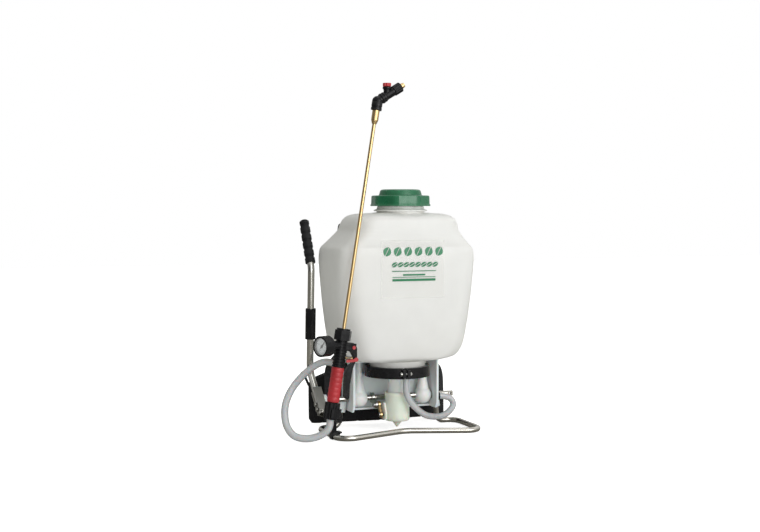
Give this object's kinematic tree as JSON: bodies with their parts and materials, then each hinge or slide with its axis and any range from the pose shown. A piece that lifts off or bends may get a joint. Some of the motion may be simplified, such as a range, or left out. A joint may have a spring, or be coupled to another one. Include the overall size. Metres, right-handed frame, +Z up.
{
  "type": "backpack sprayer",
  "caption": "Backpack sprayer: translucent tank on a moulded base and bent tube stand, lever-driven piston pump, hose, trigger handle with gauge and brass spray wand.",
  "frame": {"origin": "on the ground, in the middle of the lumbar pad's underside", "axes": "+X right along the pump shaft, -Y front, +Y towards the wearer, +Z up"},
  "size_m": [0.4697, 0.3094, 0.7883],
  "materials": {
    "tank_plastic": "translucent blow-moulded polyethylene, satin",
    "label": "clear printed film",
    "cap_green": "moulded green plastic",
    "rubber_black": "moulded black rubber",
    "white_plastic": "white moulded plastic",
    "base_plastic": "pale moulded plastic",
    "steel": "zinc-plated steel",
    "stainless": "polished stainless tube",
    "chrome": "bright plated tube",
    "black_plastic": "black moulded plastic",
    "black_fabric": "woven nylon over foam",
    "webbing": "flat woven nylon webbing",
    "cream_plastic": "cream moulded plastic",
    "brass": "drawn brass",
    "hose_pvc": "translucent PVC hose",
    "grip_red": "red moulded plastic",
    "dial_white": "printed dial",
    "lens_glass": "clear window"
  },
  "bodies": {
    "root": {"tank": "tank_plastic", "tank_label": "label", "sump_gasket": "rubber_black", "pressure_chamber": "white_plastic", "base_frame": "base_plastic", "base_screws": "steel", "clamp_ring": "black_plastic", "clamp_bolt": "steel", "foot_frame": "stainless", "wand_clip": "black_plastic", "lumbar_pad": "black_fabric", "back_plate": "black_plastic", "strap_brackets": "black_plastic", "shoulder_straps": "black_fabric", "strap_webbing": "webbing", "strap_buckles": "black_plastic", "pump_barrel": "white_plastic", "piston_seal": "rubber_black", "bearing_left": "white_plastic", "bearing_right": "white_plastic", "hose_main": "hose_pvc", "hose_side": "hose_pvc", "hose_fittings": "black_plastic"},
    "cap_carrier": {"cap_gasket": "rubber_black"},
    "cap": {"tank_cap": "cap_green", "vent_valve": "rubber_black"},
    "strainer": {"filler_strainer": "white_plastic"},
    "lever": {"pump_shaft": "stainless", "shaft_bush": "white_plastic", "shaft_retainers": "steel", "crank_arm": "steel", "crank_pin": "steel", "lever_bracket": "steel", "lever_tube": "chrome", "lever_bolts": "steel", "lever_sleeve": "black_plastic", "lever_grip": "rubber_black"},
    "link": {"pump_link": "brass", "link_pin": "steel"},
    "cup": {"pump_cup": "cream_plastic"},
    "inlet_valve": {"inlet_ball": "steel"},
    "outlet_valve": {"outlet_ball": "steel"},
    "handle": {"valve_body": "black_plastic", "valve_grip": "grip_red", "hose_nut": "black_plastic", "wand_nut": "black_plastic", "trigger_pivot": "grip_red", "valve_spring": "steel", "gauge_case": "black_plastic", "gauge_dial": "dial_white", "gauge_lens": "lens_glass"},
    "trigger": {"valve_trigger": "black_plastic"},
    "lock": {"trigger_lock": "grip_red"},
    "stem": {"valve_stem": "brass"},
    "needle": {"gauge_needle": "black_plastic"},
    "wand": {"wand_tube": "brass", "nozzle_body": "black_plastic"},
    "knob": {"selector_knob": "grip_red"},
    "nozzle": {"nozzle_cap": "black_plastic", "nozzle_tip": "brass"}
  },
  "joints": [
    {"name": "pump_lever", "type": "hinge", "parent": "root", "child": "lever", "pos_m": [0, -0.065, 0.073], "axis": [1, 0, 0], "range_deg": [-60, 0]},
    {"name": "link_swing", "type": "hinge", "parent": "lever", "child": "link", "pos_m": [-0.045, -0.08838, 0.0595], "axis": [1, 0, 0], "range_deg": [0, 60]},
    {"name": "cup_slide", "type": "slide", "parent": "root", "child": "cup", "axis": [0, 0, 1], "range_m": [0, 0.027]},
    {"name": "inlet_lift", "type": "slide", "parent": "root", "child": "inlet_valve", "axis": [0, 0, 1], "range_m": [0, 0.003]},
    {"name": "outlet_lift", "type": "slide", "parent": "root", "child": "outlet_valve", "axis": [0, 0, 1], "range_m": [0, 0.003]},
    {"name": "cap_lift", "type": "slide", "parent": "root", "child": "cap_carrier", "axis": [0, 0, 1], "range_m": [0, 0.12]},
    {"name": "cap_turn", "type": "hinge", "parent": "cap_carrier", "child": "cap", "pos_m": [0, -0.123, 0.53], "axis": [0, 0, 1], "continuous": true},
    {"name": "strainer_lift", "type": "slide", "parent": "root", "child": "strainer", "axis": [0, 0, 1], "range_m": [0, 0.084]},
    {"name": "handle_lift", "type": "slide", "parent": "root", "child": "handle", "axis": [0.1568, 0, 0.9876], "range_m": [0, 0.05]},
    {"name": "trigger_squeeze", "type": "hinge", "parent": "handle", "child": "trigger", "pos_m": [-0.14608, -0.205, 0.20893], "axis": [0, 1, 0], "range_deg": [0, 3.5]},
    {"name": "stem_slide", "type": "slide", "parent": "handle", "child": "stem", "axis": [-0.9876, 0, 0.1568], "range_m": [0, 0.0016], "deforming": ["valve_spring"]},
    {"name": "lock_turn", "type": "hinge", "parent": "trigger", "child": "lock", "pos_m": [-0.14259, -0.205, 0.18307], "axis": [0, 1, 0], "range_deg": [0, 60]},
    {"name": "needle_turn", "type": "hinge", "parent": "handle", "child": "needle", "pos_m": [-0.22476, -0.22993, 0.216], "axis": [-0.9063, -0.4226, 0], "range_deg": [-200, 0]},
    {"name": "wand_turn", "type": "hinge", "parent": "handle", "child": "wand", "pos_m": [-0.16564, -0.205, 0.25153], "axis": [0.1568, 0, 0.9876], "continuous": true},
    {"name": "knob_turn", "type": "hinge", "parent": "wand", "child": "knob", "pos_m": [-0.065, -0.205, 0.78], "axis": [0, 0, 1], "continuous": true},
    {"name": "nozzle_turn", "type": "hinge", "parent": "wand", "child": "nozzle", "pos_m": [-0.08725, -0.205, 0.74534], "axis": [0.8526, 0, 0.5225], "range_deg": [0, 180]}
  ],
  "couplings": [
    {"joint": "link_swing", "follows": "pump_lever", "ratio": -1},
    {"joint": "cup_slide", "follows": "pump_lever", "m_per_rad": -0.025783},
    {"joint": "strainer_lift", "follows": "cap_lift", "ratio": 0.7},
    {"joint": "stem_slide", "follows": "trigger_squeeze", "m_per_rad": 0.024828}
  ]
}
